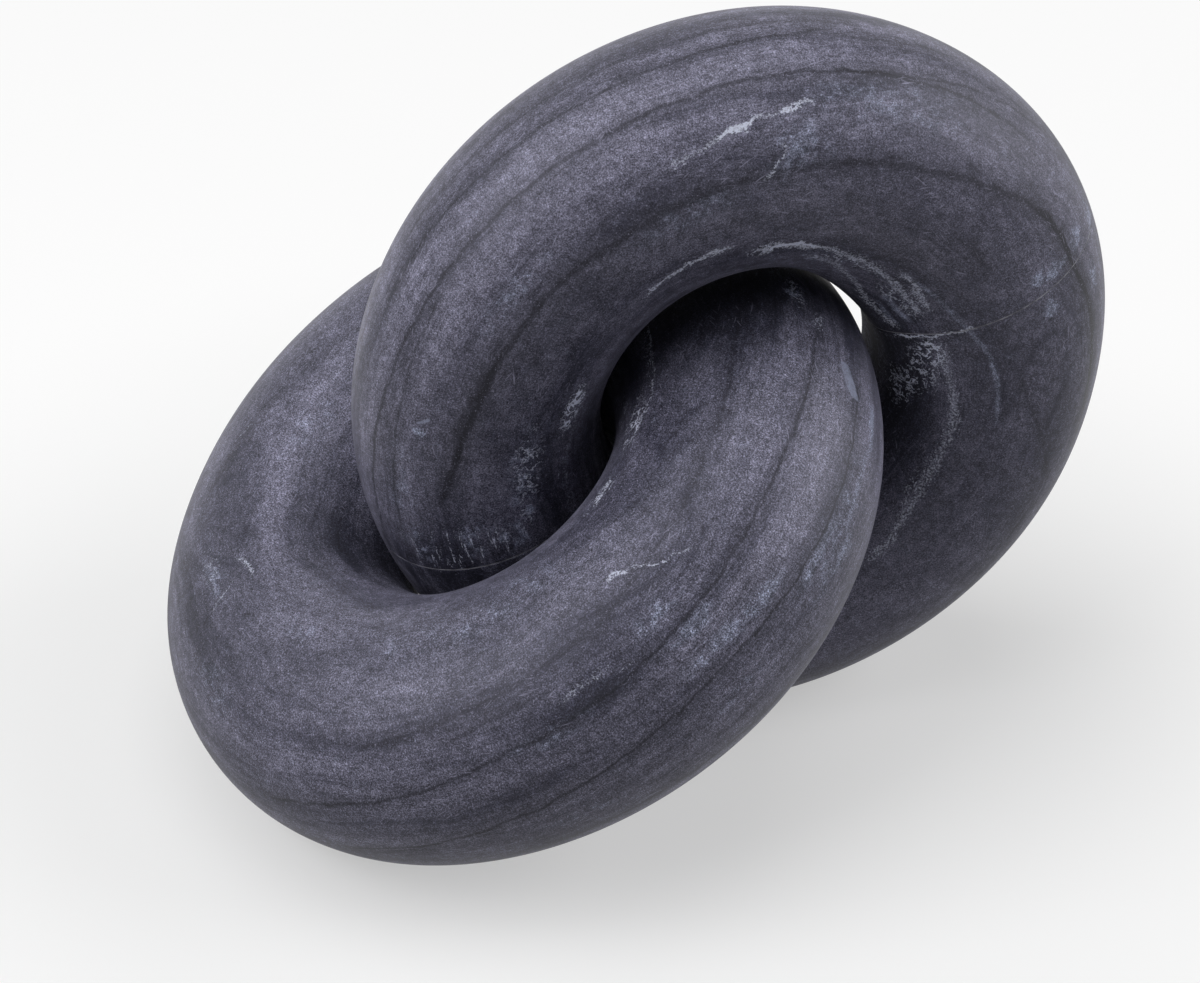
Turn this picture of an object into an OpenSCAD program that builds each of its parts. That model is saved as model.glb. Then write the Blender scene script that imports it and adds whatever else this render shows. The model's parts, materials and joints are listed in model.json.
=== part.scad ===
// Two thick marble rings, linked through each other like two links of a chain.
// The front ring is carved in one piece and leans; the rear ring stands on edge. The rear ring
// was sawn into two halves, closed round the front ring and glued, so it has two thin glue joints.
// Millimetres, +Z up. The pair stands on z = 0, with the origin under the middle of its box.

/* [Ring sections] */
// Diameter of the front ring's round section
front_tube_d = 45; // [32:0.5:56]
// Diameter of the rear ring's round section
rear_tube_d = 42; // [32:0.5:56]
// Play of the rear ring's section in the front ring's hole, across the hole
front_hole_play = 3.5; // [2.5:0.1:8]
// Play of the front ring's section in the rear ring's hole, across the hole
rear_hole_play = 6; // [4:0.1:10]

/* [How the rings lie] */
// Gap left where the two rings lie against each other
ring_gap = 0.5; // [0.3:0.05:1]
// Heading of the link line, which runs from the front ring's centre to the rear ring's centre
link_heading = 45; // [0:1:90]
// Roll of the linked pair about the link line
pair_roll = -8.5; // [-12:0.5:12]
// Turn of the rear ring about the link line, away from square to the front ring
rear_twist = -3.5; // [-6:0.5:6]
// Depth of the flat honed under each ring where it stands
foot_depth = 0.4; // [0.2:0.05:0.8]

/* [Glue joints of the rear ring] */
// Angle from the rear ring's top to the right-hand saw cut, seen from the front
right_cut_angle = 64; // [45:1:85]
// Angle from the rear ring's top to the left-hand saw cut, seen from the front
left_cut_angle = 109; // [95:1:130]
// Thickness of the glue film
glue_t = 0.2; // [0.1:0.05:0.5]

/* [Hidden] */

$fn = 180;
front_stone = [0.20, 0.21, 0.24];
rear_stone = [0.25, 0.26, 0.28];
glue_colour = [0.72, 0.71, 0.68];
up = [0, 0, 1];
// Arc of the front ring, round its lowest point, that is honed before it joins the rest of the ring
foot_arc = 90;
// Room by which the glue slab stands past the section that it cuts
slab_room = 5;

// Each hole takes the other ring's section with its play, which fixes the radius of the ring's core circle
front_core_r = (front_tube_d + rear_tube_d + front_hole_play) / 2;
rear_core_r = (rear_tube_d + front_tube_d + rear_hole_play) / 2;
front_tube_r = front_tube_d / 2;
rear_tube_r = rear_tube_d / 2;

// The front ring's section lies this far above the middle of the rear ring's hole
front_rise = rear_hole_play / 4;
// Length of the link line: the centres are drawn together until one of the two holes stops them
front_room = front_hole_play / 2 - ring_gap;
rear_room = rear_hole_play / 2 - ring_gap;
link_l = max(rear_core_r - front_room, front_core_r - sqrt(rear_room * rear_room - front_rise * front_rise));

// Directions of the pair when the link line climbs at an angle, before it is turned to its heading
function link_line(climb) = [cos(climb), 0, sin(climb)];
function front_axis(climb) = cos(pair_roll) * [-sin(climb), 0, cos(climb)] + sin(pair_roll) * [0, 1, 0];
function rear_axis(climb) =
    let (square = cross(front_axis(climb), link_line(climb)))
    cos(rear_twist) * square + sin(rear_twist) * front_axis(climb);
function rear_offset(climb) = link_l * link_line(climb) - front_rise * front_axis(climb);

// Height of a ring's centre when its honed foot is on the table
function standing_z(axis, core_r, tube_r) = core_r * sqrt(1 - axis.z * axis.z) + tube_r - foot_depth;
function front_z(climb) = standing_z(front_axis(climb), front_core_r, front_tube_r);
function rear_z(climb) = standing_z(rear_axis(climb), rear_core_r, rear_tube_r);

// Climb of the link line at which both rings stand on the table, found by halving
function rear_hang(climb) = front_z(climb) + rear_offset(climb).z - rear_z(climb);
function find_climb(low, high, halvings) =
    let (middle = (low + high) / 2)
    halvings == 0 ? middle
    : rear_hang(middle) > 0 ? find_climb(low, middle, halvings - 1)
    : find_climb(middle, high, halvings - 1);
link_climb = find_climb(0, 60, 45);

// Axes turned to the heading; the rear ring's points to the front, so its right is the viewer's right
function turned(v) = [
    v.x * cos(link_heading) - v.y * sin(link_heading),
    v.x * sin(link_heading) + v.y * cos(link_heading),
    v.z
];
front_dir = turned(front_axis(link_climb));
rear_dir = -turned(rear_axis(link_climb));
front_start = front_z(link_climb) * up;
rear_start = front_start + turned(rear_offset(link_climb));

// Half the width of a tilted ring along one of the part's axes, and the middle of the pair along it
function half_width(axis, core_r, tube_r, i) = core_r * sqrt(1 - axis[i] * axis[i]) + tube_r;
function pair_middle(i) =
    let (
        front_w = half_width(front_dir, front_core_r, front_tube_r, i),
        rear_w = half_width(rear_dir, rear_core_r, rear_tube_r, i),
        low = min(front_start[i] - front_w, rear_start[i] - rear_w),
        high = max(front_start[i] + front_w, rear_start[i] + rear_w)
    )
    (low + high) / 2;
pair_centre = [pair_middle(0), pair_middle(1), 0];
front_centre = front_start - pair_centre;
rear_centre = rear_start - pair_centre;

// Side of the block of space above the table, wider than the pair wherever it stands
above_table = 4 * (front_core_r + front_tube_r + rear_core_r + rear_tube_r);

// Sets a ring drawn flat round Z at its place: Z goes along its axis and Y to its highest point
module place(centre, axis) {
    level = cross(up, axis) / norm(cross(up, axis));
    uphill = cross(axis, level);
    multmatrix([
        [level.x, uphill.x, axis.x, centre.x],
        [level.y, uphill.y, axis.y, centre.y],
        [level.z, uphill.z, axis.z, centre.z],
        [0, 0, 0, 1]
    ])
        children();
}

// Round-section ring, or an arc of one that starts at an angle clockwise from the top
module ring(core_r, tube_r, start = 0, span = 360) {
    rotate(90 - start - span)
        rotate_extrude(angle = span)
            translate([core_r, 0])
                circle(r = tube_r);
}

// Hones the foot flat: only what stands above the table is kept
module honed() {
    intersection() {
        children();
        translate([-above_table / 2, -above_table / 2, 0])
            cube(above_table);
    }
}

// Slab as thick as the glue film, across the rear ring's section at an angle clockwise from the top
module glue_slab(angle) {
    slab_d = rear_tube_d + 2 * slab_room;
    rotate(90 - angle)
        translate([rear_core_r - slab_d / 2, -glue_t / 2, -slab_d / 2])
            cube([slab_d, glue_t, slab_d]);
}

// Half of the rear ring between two saw cuts, each face set back by half a glue film
module rear_half(start, span) {
    difference() {
        ring(rear_core_r, rear_tube_r, start, span);
        glue_slab(start);
        glue_slab(start + span);
    }
}

// Glue film that fills a saw cut, flush with the ring's surface
module glue_film(angle) {
    intersection() {
        ring(rear_core_r, rear_tube_r);
        glue_slab(angle);
    }
}

module front_ring() {
    color(front_stone)
        union() {
            place(front_centre, front_dir)
                ring(front_core_r, front_tube_r, 180 + foot_arc / 2, 360 - foot_arc);
            honed()
                place(front_centre, front_dir)
                    ring(front_core_r, front_tube_r, 180 - foot_arc / 2, foot_arc);
        }
}

module rear_ring_upper_half() {
    color(rear_stone)
        place(rear_centre, rear_dir)
            rear_half(-left_cut_angle, left_cut_angle + right_cut_angle);
}

module rear_ring_lower_half() {
    color(rear_stone)
        honed()
            place(rear_centre, rear_dir)
                rear_half(right_cut_angle, 360 - left_cut_angle - right_cut_angle);
}

module right_glue_joint() {
    color(glue_colour)
        place(rear_centre, rear_dir)
            glue_film(right_cut_angle);
}

module left_glue_joint() {
    color(glue_colour)
        place(rear_centre, rear_dir)
            glue_film(-left_cut_angle);
}

front_ring();
rear_ring_upper_half();
rear_ring_lower_half();
right_glue_joint();
left_glue_joint();
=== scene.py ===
"""Two linked rings of honed charcoal marble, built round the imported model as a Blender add-on.

The front ring is carved in one piece. The rear ring was sawn, closed round the front ring and glued, so
it has two halves and two thin glue joints. Angles along a ring run clockwise from its highest point, seen
from the front, and angles round its section run from the outer side, over the front, to the hole.
"""

import json
import math
from collections import namedtuple
from functools import partial

import bpy
import numpy as np
from mathutils import Matrix, Vector


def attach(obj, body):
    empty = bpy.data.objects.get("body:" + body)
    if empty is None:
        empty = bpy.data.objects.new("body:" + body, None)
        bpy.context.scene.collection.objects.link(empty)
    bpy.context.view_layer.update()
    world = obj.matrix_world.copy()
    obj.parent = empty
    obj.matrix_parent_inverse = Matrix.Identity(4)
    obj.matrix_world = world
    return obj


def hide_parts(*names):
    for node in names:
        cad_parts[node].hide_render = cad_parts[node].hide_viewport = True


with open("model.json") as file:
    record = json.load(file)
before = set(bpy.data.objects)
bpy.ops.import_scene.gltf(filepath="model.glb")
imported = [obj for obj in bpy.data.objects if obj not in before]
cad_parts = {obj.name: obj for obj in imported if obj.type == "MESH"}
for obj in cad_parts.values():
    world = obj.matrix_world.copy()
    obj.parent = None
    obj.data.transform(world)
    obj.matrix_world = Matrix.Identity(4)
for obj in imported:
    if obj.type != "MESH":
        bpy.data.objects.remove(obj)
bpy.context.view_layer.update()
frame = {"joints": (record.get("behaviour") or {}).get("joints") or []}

bl_info = {
    "name": "Linked marble rings",
    "version": (1, 0, 0),
    "blender": (4, 5, 0),
    "location": "View3D > Sidebar > Marble rings",
    "description": "Builds two linked rings of honed marble round their packed model",
    "category": "Object",
}

MM = 0.001
FULL_TURN = 2 * math.pi
REAR_JOINT = next(j for j in frame["joints"] if j["name"] == "rear_ring_turn")

# Points along the front ring, along each half of the rear ring, round the stone and round a glue film
FRONT_ROWS, HALF_ROWS, STONE_COLUMNS, FILM_COLUMNS = 480, 400, 200, 400
SHARP_EDGE = math.radians(30)
# Rings of faces that close a sawn end, as shares of its radius
CAP_SHARES = (0.72, 0.4)
# Flat map of a piece: the share that its band takes, and the middles and the reach of its two closed ends
FlatMap = namedtuple("FlatMap", "band ends reach")
HALF_MAP = FlatMap((1.0, 0.92), ((0.04, 0.96), (0.13, 0.96)), 0.035)
FILM_MAP = FlatMap((0.5, 1.0), ((0.75, 0.25), (0.75, 0.75)), 0.2)

# Waves that honing by hand leaves: their number, their count per turn, which leans back round the section,
# and how much each one weighs
HAND_WAVES = 14
WAVES_PER_TURN = (2, 9)
WAVE_LEAN = 4
WAVE_WEIGHTS = (0.3, 1.0)
FRONT_SEED, REAR_SEED = 11, 23
# Height over the table below which the honed surface comes back to the true ring
FOOT_EASE = 6 * MM

# Ripples round a wiped glue film, how much each weighs and changes its depth, and the film's rows: the share
# of half the thickness and how far the bead hollows there
RIPPLES = (5, 9, 14, 23, 37)
RIPPLE_WEIGHTS = (0.2, 1.0)
RIPPLE_SHARE = 0.8 / 3
BEAD_ROWS = ((-1.0, 1.6), (-0.5, 1.1), (0.0, 1.0), (0.5, 1.1), (1.0, 1.6))
RIGHT_SEED, LEFT_SEED = 31, 37

# Coarseness of what the stone shows, in waves per millimetre
SWAY_WAVES = 0.035
CLOUD_WAVES = 0.07
BLOTCH_WAVES = 0.16
THREAD_WAVES = 0.46
BED_WAVES = (0.013, 0.013, 0.22)
CHALK_WAVES = (0.375, 0.375, 0.6)
# The same in waves per degree along and round the ring, and the size of hair scratches in degrees
STREAK_WAVES = (0.22, 0.75, 0)
RAKE_WAVES = (0.2, 0.42, 0)
HAIR_SIZE = (5.4, 0.7, 1.0)
HAIR_LEANS = (math.radians(34), math.radians(-48))
# How far the beds, milky edges, dark lines and veins waver to each side, in millimetres
BED_SWAY = 3.5
RAGGED_EDGE = 0.7
DARK_LINE_SWAY = 1.1
VEIN_SWAY = (1.6, 1.8)
# Fine beds within the beds, how much they shift the tone, and the bed along which faint dark lines run
FINE_BEDS = 70.0
FINE_BED_TONE = 0.06
FAINT_LINE_BED = 0.47
# Shift of the tone in pale areas, partly painted light, and in dark areas, partly painted shade, light left
# in the darkest stone, and strength of the crystals
AREA_TONE = 0.4
DEEPEST = 0.35
CRYSTAL_STRENGTH = 0.62
# Spread of the roughness over the grain, and the angles round the section where the hole's wall begins
GRAIN_ROUGHNESS = 0.12
HOLE_WALL = (130.0, 160.0)
STONE_SPECULAR = 0.28
STONE_SPECULAR_TINT = (0.84, 0.84, 1.0, 1)

# A drawn line fades over so many degrees or this share of it, is solid and gone at these shares of half its
# width, and throws its shade so many millimetres
LINE_FADE = 7.0
LINE_FADE_SHARE = 0.3
LINE_SOLID, LINE_GONE = 0.2, 1.3
SHADE_REACH = 2.4
# Shares of an area's reach between which it fades, with a soft edge and with a broken one
SOFT_FADE = (0.25, 1.25)
BROKEN_FADE = (0.75, 1.1)

# The camera's sensor in millimetres and what it sees in metres
SENSOR_WIDTH = 36.0
CLIP_NEAR, CLIP_FAR = 0.01, 20.0
FLOOR_SIDES = 96
FLOOR_DROP = 0.05 * MM
# Glow that whitens the floor between two distances: weak by the foot, where the shadow stays, and far off
FOOT_GLOW = (0.08, 0.2, 0.42, 0.86)
FAR_GLOW = (0.25, 1.3, 0.0, 0.14)
SOFTBOX_SIZE = 0.7
SOFTBOX_DISTANCE = 1.0
# Softboxes, with their angles round from the camera and above the floor, in degrees
SOFTBOXES = (("left", 270, 50), ("left_front", 300, 38), ("right", 90, 28), ("overhead", 0, 88))

# A line on a ring: its way as (angle along, angle round) in degrees, half its width in millimetres, and how
# strongly it shows. Its points rise steadily in the angle along, or for a crack in the angle round.
Line = namedtuple("Line", "path half_width strength")
# An area on a ring: its middle and half its reach, along and round, in degrees, and its strength
Patch = namedtuple("Patch", "along round_ reach_along reach_round strength")
# What one ring's stone shows, with painted light and painted shade in its pale and dark areas
Marks = namedtuple("Marks", (
    "dark_lines veins cracks milky_lines lenses "
    "chips fleck_areas raked_areas haze_areas pale_areas dark_areas"))
# A place where the hand-honed surface leaves the true ring, by a height in millimetres
Swell = namedtuple("Swell", "along round_ reach_along reach_round height")


def lines(*rows):
    return [Line(*row) for row in rows]


def areas(*rows):
    return [Patch(*row) for row in rows]


FRONT_MARKS = Marks(
    dark_lines=lines(
        (((32, 14), (60, 14), (82, 14.5), (96, 13), (110, 9), (126, 4), (141, 0), (154, -4)), 0.4, 0.85),
        (((26, 33), (44, 41), (60, 43.5), (76, 42), (92, 39), (106, 37), (116, 36), (126, 32.5),
          (138, 28.5), (150, 25), (164, 20)), 0.45, 0.8),
        (((20, 65), (34, 71), (54, 73.5), (70, 70.5), (84, 66.5), (98, 61.5), (114, 58.5), (128, 56),
          (144, 49)), 0.6, 0.5),
        (((66, 28), (84, 29), (98, 28), (112, 27)), 1.6, 0.3),
        (((104, 49), (114, 51), (128, 46)), 0.5, 0.5),
        (((196, 60), (226, 78), (256, 96), (290, 104)), 1.6, 0.25),
        (((172, 18), (205, 12), (240, 16), (275, 24), (310, 20), (345, 12)), 0.5, 0.7),
        (((168, -12), (200, -22), (240, -18), (280, -10), (330, -20)), 0.5, 0.6),
        (((206, 46), (235, 52), (270, 44), (310, 50), (350, 40)), 0.8, 0.5),
        (((14, -26), (60, -32), (110, -26), (160, -36), (210, -48), (260, -42)), 0.6, 0.6),
        (((40, -70), (90, -64), (150, -72), (220, -66), (300, -74)), 0.8, 0.5),
    ),
    veins=lines(
        (((14, 110), (24, 110), (35, 110.5), (45, 110), (52, 113.5), (60, 114)), 0.5, 0.62),
        (((65, 117), (70, 116), (75, 112), (81, 107)), 0.7, 0.62),
        (((187, 97), (191, 100), (195, 98), (199, 90)), 0.6, 0.66),
        (((96, 46), (101, 47), (108, 43)), 0.9, 0.5),
        (((84.4, 70.2), (87, 72.4), (90, 74.4)), 0.55, 0.75),
        (((260, 36), (268, 31), (276, 32), (286, 26), (292, 27)), 0.8, 0.6),
        (((112, -44), (120, -40), (131, -42), (139, -36)), 0.7, 0.6),
    ),
    cracks=lines(
        (((186, 70), (188, 80), (189.5, 86), (193.5, 95)), 0.22, 0.6),
        (((74, 53), (77, 58.2), (81.5, 64.3), (83.4, 68.1), (87, 75)), 0.5, 0.6),
        (((234, 80), (240, 88)), 0.3, 0.5),
        (((306, -12), (309.5, 2), (307.5, 16)), 0.4, 0.6),
    ),
    milky_lines=lines(
        (((36, 4.5), (40, 1.5), (47, 1)), 0.7, 0.6),
        (((56, 9), (62, 11), (66, 10.5), (72, 8)), 1.2, 0.6),
        (((57, -1.5), (61, -2), (65, -2.5)), 0.8, 0.55),
        (((44, 3), (50, 4), (54, 3.7), (60, 1)), 0.8, 0.5),
    ),
    lenses=lines(
        (((32.8, 22.4), (36, 19.9), (38, 17.4), (40.4, 13.4)), 1.5, 1.0),
        (((37.5, 2.2), (39.5, 2), (41.5, 1.6)), 0.8, 0.9),
    ),
    chips=areas(
        (40, 2, 2.4, 2.4, 0.6), (22, 42, 1.0, 3.5, 0.7), (74, 21.5, 2.2, 2.4, 0.6),
        (82.5, 24.5, 2.6, 3.0, 0.6), (84.5, 36, 2.4, 3.0, 0.6),
    ),
    fleck_areas=areas(
        (40, 133, 12, 8, 0.6), (28, 112, 12, 5, 0.6), (50, 118, 12, 9, 0.9), (74, 113, 10, 6, 0.8),
        (22, 41, 5, 5, 0.9), (28, 33, 3, 6, 0.7), (198, 81, 10, 8, 0.5), (300, 130, 40, 14, 0.6),
        (286, 40, 12, 7, 0.7), (330, -30, 14, 10, 0.6), (146, -52, 16, 12, 0.6),
    ),
    raked_areas=areas((98, 43, 6, 5, 0.6), (68, 28, 9, 6, 0.35), (300, -10, 16, 12, 0.4)),
    haze_areas=areas(
        (60, 8, 16, 9, 0.5), (63, -2, 8, 5, 0.5), (84, 36, 6, 4, 1.0), (82, 24, 9, 5, 1.0),
        (75, 22, 6, 4, 0.9), (87, 50, 5, 5, 0.8), (109, 35, 8, 4, 0.8), (86, 0, 6, 5, 0.5),
        (112, -8, 7, 4, 0.5), (103, 98, 10, 9, 0.5), (124, 92, 18, 9, 0.4), (162, 97, 6, 7, 0.5),
        (176, 55, 7, 10, 0.5), (196, 83, 9, 6, 0.6), (242, 118, 10, 10, 0.5), (252, 0, 14, 8, 0.9),
        (302, 32, 10, 8, 0.8), (220, -32, 12, 9, 0.8), (64, -42, 14, 10, 0.8),
    ),
    # partly paler stone and partly painted light on the sides that the lamps reach
    pale_areas=areas(
        (64, 78, 26, 7, 0.5), (58, 58, 26, 14, 0.6), (56, 30, 22, 12, 0.5), (78, 26, 20, 12, 1.1),
        (48, 6, 22, 14, 0.6), (112, 54, 16, 5, 0.4), (120, 74, 40, 14, 0.3), (230, 114, 34, 8, 1.0),
        (258, 30, 40, 10, 0.6), (320, 4, 40, 9, 0.6), (90, -38, 40, 10, 0.5),
    ),
    # partly darker stone and partly painted shade, under the rear ring's arch and on the hole's wall
    dark_areas=areas(
        (104, 34, 20, 9, 0.6), (130, 12, 40, 10, 0.4), (205, 142, 34, 14, 0.8), (214, 91, 20, 9, 0.4),
        (162, 86, 24, 7, 0.3), (10, 140, 40, 40, 0.8), (16, 66, 15, 50, 1.9), (190, 80, 50, 28, 1.2),
        (236, 84, 20, 10, 0.5), (285, -2, 40, 9, 0.6), (225, 38, 30, 9, 0.5), (118, 78, 24, 14, 0.3),
        (102, 40, 9, 6, 1.4), (28, 70, 14, 30, 1.1), (26, 8, 9, 14, 1.0), (194, 150, 24, 15, 0.9),
        (214, 100, 32, 8, 0.7), (212, 131, 34, 10, 1.0), (168, 110, 18, 10, 0.5),
    ),
)
REAR_MARKS = Marks(
    dark_lines=lines(
        (((-122, 11), (-108, 18), (-90, 24), (-75, 29.5), (-60, 33), (-40, 35.5), (-20, 36), (0, 34.5),
          (20, 33.5), (46, 33)), 0.5, 0.72),
        (((-112, 36), (-90, 38), (-72, 38.5), (-56, 37)), 0.45, 0.6),
        (((6, 34), (20, 31.5), (32, 26), (50, 18)), 0.45, 0.6),
        (((-98, 60), (-88, 66), (-79, 71), (-66, 73.5), (-48, 75), (-30, 77), (-12, 77), (0, 76),
          (10, 73.5), (24, 71), (40, 64), (50, 57.5), (64, 56), (78, 51), (92, 50), (108, 47)), 0.9, 0.7),
        (((46, 60), (56, 56.5), (64, 55.5), (74, 52), (86, 50), (98, 53)), 0.7, 0.8),
        (((-68, 12), (-48, 13.5), (-28, 16), (-10, 15.5), (4, 12.5), (12, 8)), 0.5, 0.65),
        (((-64, -1), (-34, 1.5), (-6, 3.5), (16, 3)), 0.7, 0.45),
        (((5, 16), (18, 13), (32, 7)), 0.5, 0.5),
        # a thin dark line on the right of the ring, not known to be bedding; it is only drawn darker
        (((78, 99), (90, 90), (100, 77), (110, 62)), 0.5, 0.5),
        (((36, 87), (44, 91), (54, 95)), 1.4, 0.5),
        (((-150, -34), (-110, -30), (-70, -36), (-30, -33), (10, -38), (50, -34), (90, -40),
          (130, -35)), 0.5, 0.75),
        (((-120, -72), (-80, -66), (-40, -70), (0, -74), (40, -68), (80, -72), (120, -66)), 0.9, 0.65),
        (((-60, -112), (-20, -106), (20, -110), (60, -104), (100, -108)), 0.6, 0.6),
        (((108, 12), (140, 16), (172, 8)), 0.5, 0.65),
        (((-94, 66), (-86, 69), (-80, 68), (-72, 71), (-60, 73)), 1.3, 0.45),
    ),
    veins=lines(
        (((-25, 65), (-20, 62.2), (-15.6, 58.6), (-10.4, 55.8), (-6.1, 53.2), (-2, 50.3),
          (3, 48), (7, 46.8)), 0.75, 0.55),
        (((-13, 57), (-9, 54.8), (-6, 53), (-3.6, 51)), 0.6, 0.35),
        (((-2.6, 50.8), (0.4, 49.2), (3.4, 47.8), (5.4, 47.2)), 0.55, 0.35),
        (((-40, 114), (-32, 111), (-24, 109.5), (-9, 109.5)), 0.65, 0.8),
        (((-14, 116), (-6, 118), (2, 116), (12, 121)), 0.5, 0.62),
        (((-8, 114), (6, 119), (20, 123), (32, 128), (43, 132), (60, 133)), 1.2, 0.68),
        (((4, 127), (17, 133), (30, 144), (44, 152), (58, 151), (66, 142)), 1.1, 0.62),
        (((32, 122), (40, 124), (51, 127), (58, 128)), 1.2, 0.66),
        (((64, 127), (74, 130), (82, 128.5), (95, 125.5), (106, 126), (117, 126.5), (130, 122),
          (140, 119), (150, 115)), 1.4, 0.55),
        (((-44, -58), (-36, -54), (-27, -55), (-18, -49)), 0.9, 0.6),
        (((72, -92), (80, -88), (89, -90), (97, -84)), 0.8, 0.6),
        (((-108, 121), (-99, 122), (-92, 122), (-83, 124.5), (-77, 125), (-70, 123), (-60, 117)), 1.1, 0.4),
    ),
    cracks=lines(
        (((-1.6, 60), (-1, 66), (-2.4, 71), (-4, 76), (-6.4, 83)), 0.34, 0.62),
        (((28, -66), (30.5, -56), (29, -46)), 0.4, 0.6),
        (((64.5, 138), (66, 155), (67, 172)), 0.6, 0.4),
        (((64.3, 108), (64.4, 120), (64.5, 132), (64.7, 156)), 0.5, 0.8),
    ),
    milky_lines=lines(
        (((34, 121.5), (52, 119.5), (64, 115.5), (74, 109.5), (96, 106)), 0.55, 0.5),
        (((-3, 84), (-2, 78), (-1, 72), (1, 64), (5, 56)), 2.0, 0.5),
        (((40, 140), (50, 143), (60, 140)), 0.8, 0.7),
        (((44, 147), (54, 149), (62, 145)), 0.6, 0.6),
    ),
    lenses=lines((((-80.4, 47), (-79.4, 51), (-78, 55)), 0.5, 0.8)),
    chips=areas(
        (60, 77, 1.2, 3.2, 0.9), (61.2, 69, 1.0, 3.6, 0.8), (61.3, 61, 0.8, 2.6, 0.8),
        (67.5, 76, 1.8, 4.0, 0.6), (60.5, 46, 0.9, 3.2, 0.8), (62.5, 29, 1.3, 4.0, 0.7),
        (69.5, 44, 0.9, 3.6, 0.7), (-81.4, 50.4, 0.9, 3.2, 0.9), (-103.5, 86, 1.4, 2.6, 0.7),
        (-98.5, 101, 1.2, 2.6, 0.8), (-101, 94, 0.9, 2.0, 0.7),
    ),
    fleck_areas=areas(
        (-70, 122, 10, 6, 0.7), (-4, 118, 9, 7, 1.0), (22, 127, 16, 9, 0.8), (46, 136, 14, 12, 0.8),
        (78, 142, 14, 12, 0.85), (90, 156, 12, 14, 0.8), (70, 134, 7, 8, 0.9), (-87, 101, 14, 10, 0.8),
        (-74, 119, 10, 7, 0.8), (-103, 86, 5, 8, 0.6), (-99, 100, 5, 7, 0.6), (120, 128, 20, 8, 0.6),
        (-160, 110, 40, 14, 0.5), (-90, -112, 14, 9, 0.7), (20, -124, 16, 8, 0.7), (104, -120, 14, 9, 0.7),
    ),
    raked_areas=areas(
        (-104, 62, 7, 36, 1.0), (-103, 90, 7, 16, 0.5), (-94, 121, 12, 6, 0.8), (52, 126, 18, 12, 0.4),
        (-150, -100, 24, 14, 0.4),
    ),
    haze_areas=areas(
        (1, 68, 6, 14, 0.8), (16, 46, 16, 12, 0.5), (8, 130, 12, 9, 0.5), (-52, 62, 10, 6, 0.7),
        (-20, 82, 14, 7, 0.5), (60.5, 76, 2.6, 6, 1.2), (61.5, 66, 2.2, 5, 1.1), (69, 76, 3, 6, 1.0),
        (61, 48, 2.6, 8, 1.1), (62, 29, 4, 5, 0.9), (70, 44, 3, 6, 0.9), (-94, 40, 12, 8, 0.4),
        (-104, 46, 4, 8, 0.9), (-102, 74, 5, 8, 0.9), (-104, 92, 6, 7, 0.9), (-88, 98, 12, 9, 0.6),
        (-70, -50, 14, 9, 0.9), (30, -90, 14, 10, 0.8), (112, -50, 12, 9, 0.8), (150, 40, 14, 9, 0.7),
        (-150, 60, 12, 9, 0.7),
    ),
    # partly paler stone and partly painted light on the top of the ring
    pale_areas=areas(
        (-36, 26, 60, 18, 0.85), (-40, 48, 42, 10, 0.85), (12, 26, 30, 9, 0.6), (20, 55, 26, 10, 0.4),
        (-15, 94, 40, 8, 0.2), (-80, 40, 30, 26, 0.4), (58, 84, 32, 20, 0.55), (-70, 62, 26, 14, 0.4),
        (-60, -52, 50, 11, 0.7), (50, -52, 50, 10, 0.6), (0, -92, 60, 9, 0.5),
    ),
    # partly darker stone and partly painted shade on the hole's walls, where the front ring shades them
    dark_areas=areas(
        (-22, 70, 24, 9, 0.7), (30, 48, 24, 16, 0.4), (-60, 84, 30, 7, 0.3), (72, -4, 40, 20, 1.0),
        (0, 128, 70, 12, 0.4), (100, 158, 70, 30, 1.5), (92, 150, 34, 18, 0.8), (-104, 112, 24, 22, 0.6),
        (-108, 70, 12, 40, 0.9), (-20, -82, 50, 8, 0.6), (80, -64, 40, 8, 0.5), (-110, 35, 9, 32, 1.3),
    ),
)

# The hand-honed shape: the outline runs a little inside or outside the true ring at these places
FRONT_SWELLS = (
    Swell(120, -12, 34, 40, -0.8),
    Swell(235, 62, 32, 34, -0.65),
    Swell(36, 19, 4, 6, -0.12),
    Swell(300, 20, 40, 50, -0.4),
    Swell(350, 182, 26, 36, 0.6),
    Swell(343, -152, 22, 30, 2.0),
    Swell(17, 10, 12, 34, 0.3),
)
REAR_SWELLS = (
    Swell(46, 8, 22, 45, 0.3),
    Swell(92, 40, 22, 40, -0.6),
    Swell(-30, 118, 34, 22, -0.5),
    Swell(-81, 50, 1.6, 5, -0.12),
    Swell(-60, -40, 50, 50, -0.3),
    Swell(60, -148, 70, 30, 1.0),
    Swell(-110, -160, 50, 34, 1.1),
    Swell(48, 162, 30, 15, 1.7),
)


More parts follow.
